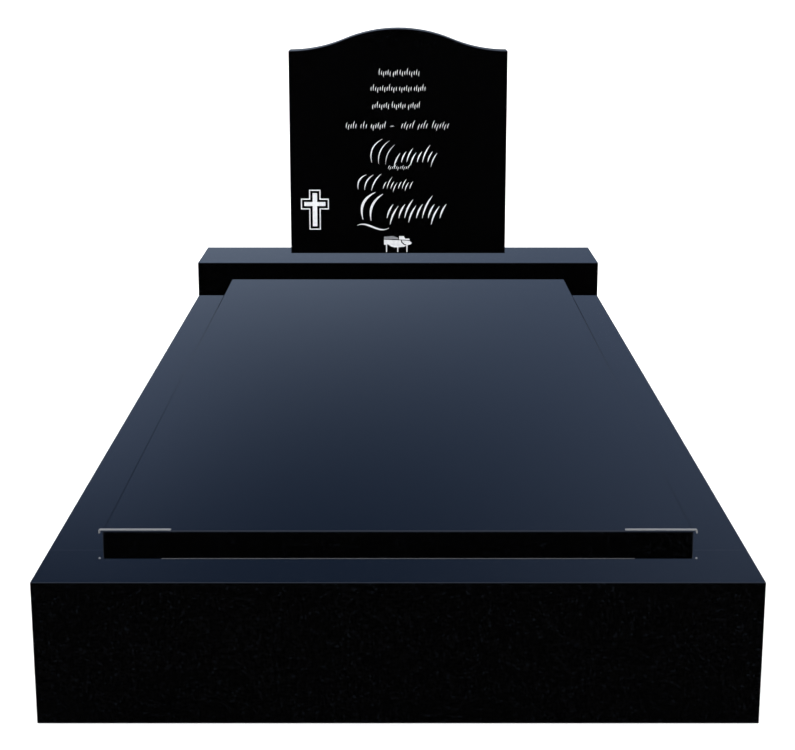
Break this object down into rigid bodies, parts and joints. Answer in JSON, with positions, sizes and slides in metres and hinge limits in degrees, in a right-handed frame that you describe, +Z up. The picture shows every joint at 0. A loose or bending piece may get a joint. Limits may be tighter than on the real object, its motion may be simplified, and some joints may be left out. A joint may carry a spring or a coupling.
{
  "type": "headstone with kerb surround and ledger",
  "caption": "Polished black granite grave memorial: serpentine-topped headstone on a base, with a kerb surround and a flat ledger. Marks a grave, and stands by its own weight.",
  "frame": {"origin": "bottom centre of the kerb surround, on the ground", "axes": "+Z up, +Y from the foot end to the head end, +X to the right of a viewer who stands at the foot and faces the headstone"},
  "size_m": [0.914, 2.08, 0.784],
  "materials": {
    "granite": "fine-grained black granite, mirror-polished",
    "aluminium": "aluminium with a dull oxide film",
    "pointing": "matt grey pointing mortar",
    "white_enamel": "white enamel paint filled into the sunk work"
  },
  "bodies": {
    "root": {"foot_kerb": "granite", "left_kerb": "granite", "right_kerb": "granite", "head_kerb": "granite", "headstone_base": "granite", "headstone": "granite", "ledger": "granite", "corner_trim_left": "aluminium", "corner_trim_right": "aluminium", "ledger_stud_left": "aluminium", "ledger_stud_right": "aluminium", "front_joint_bead": "pointing"}
  },
  "joints": []
}
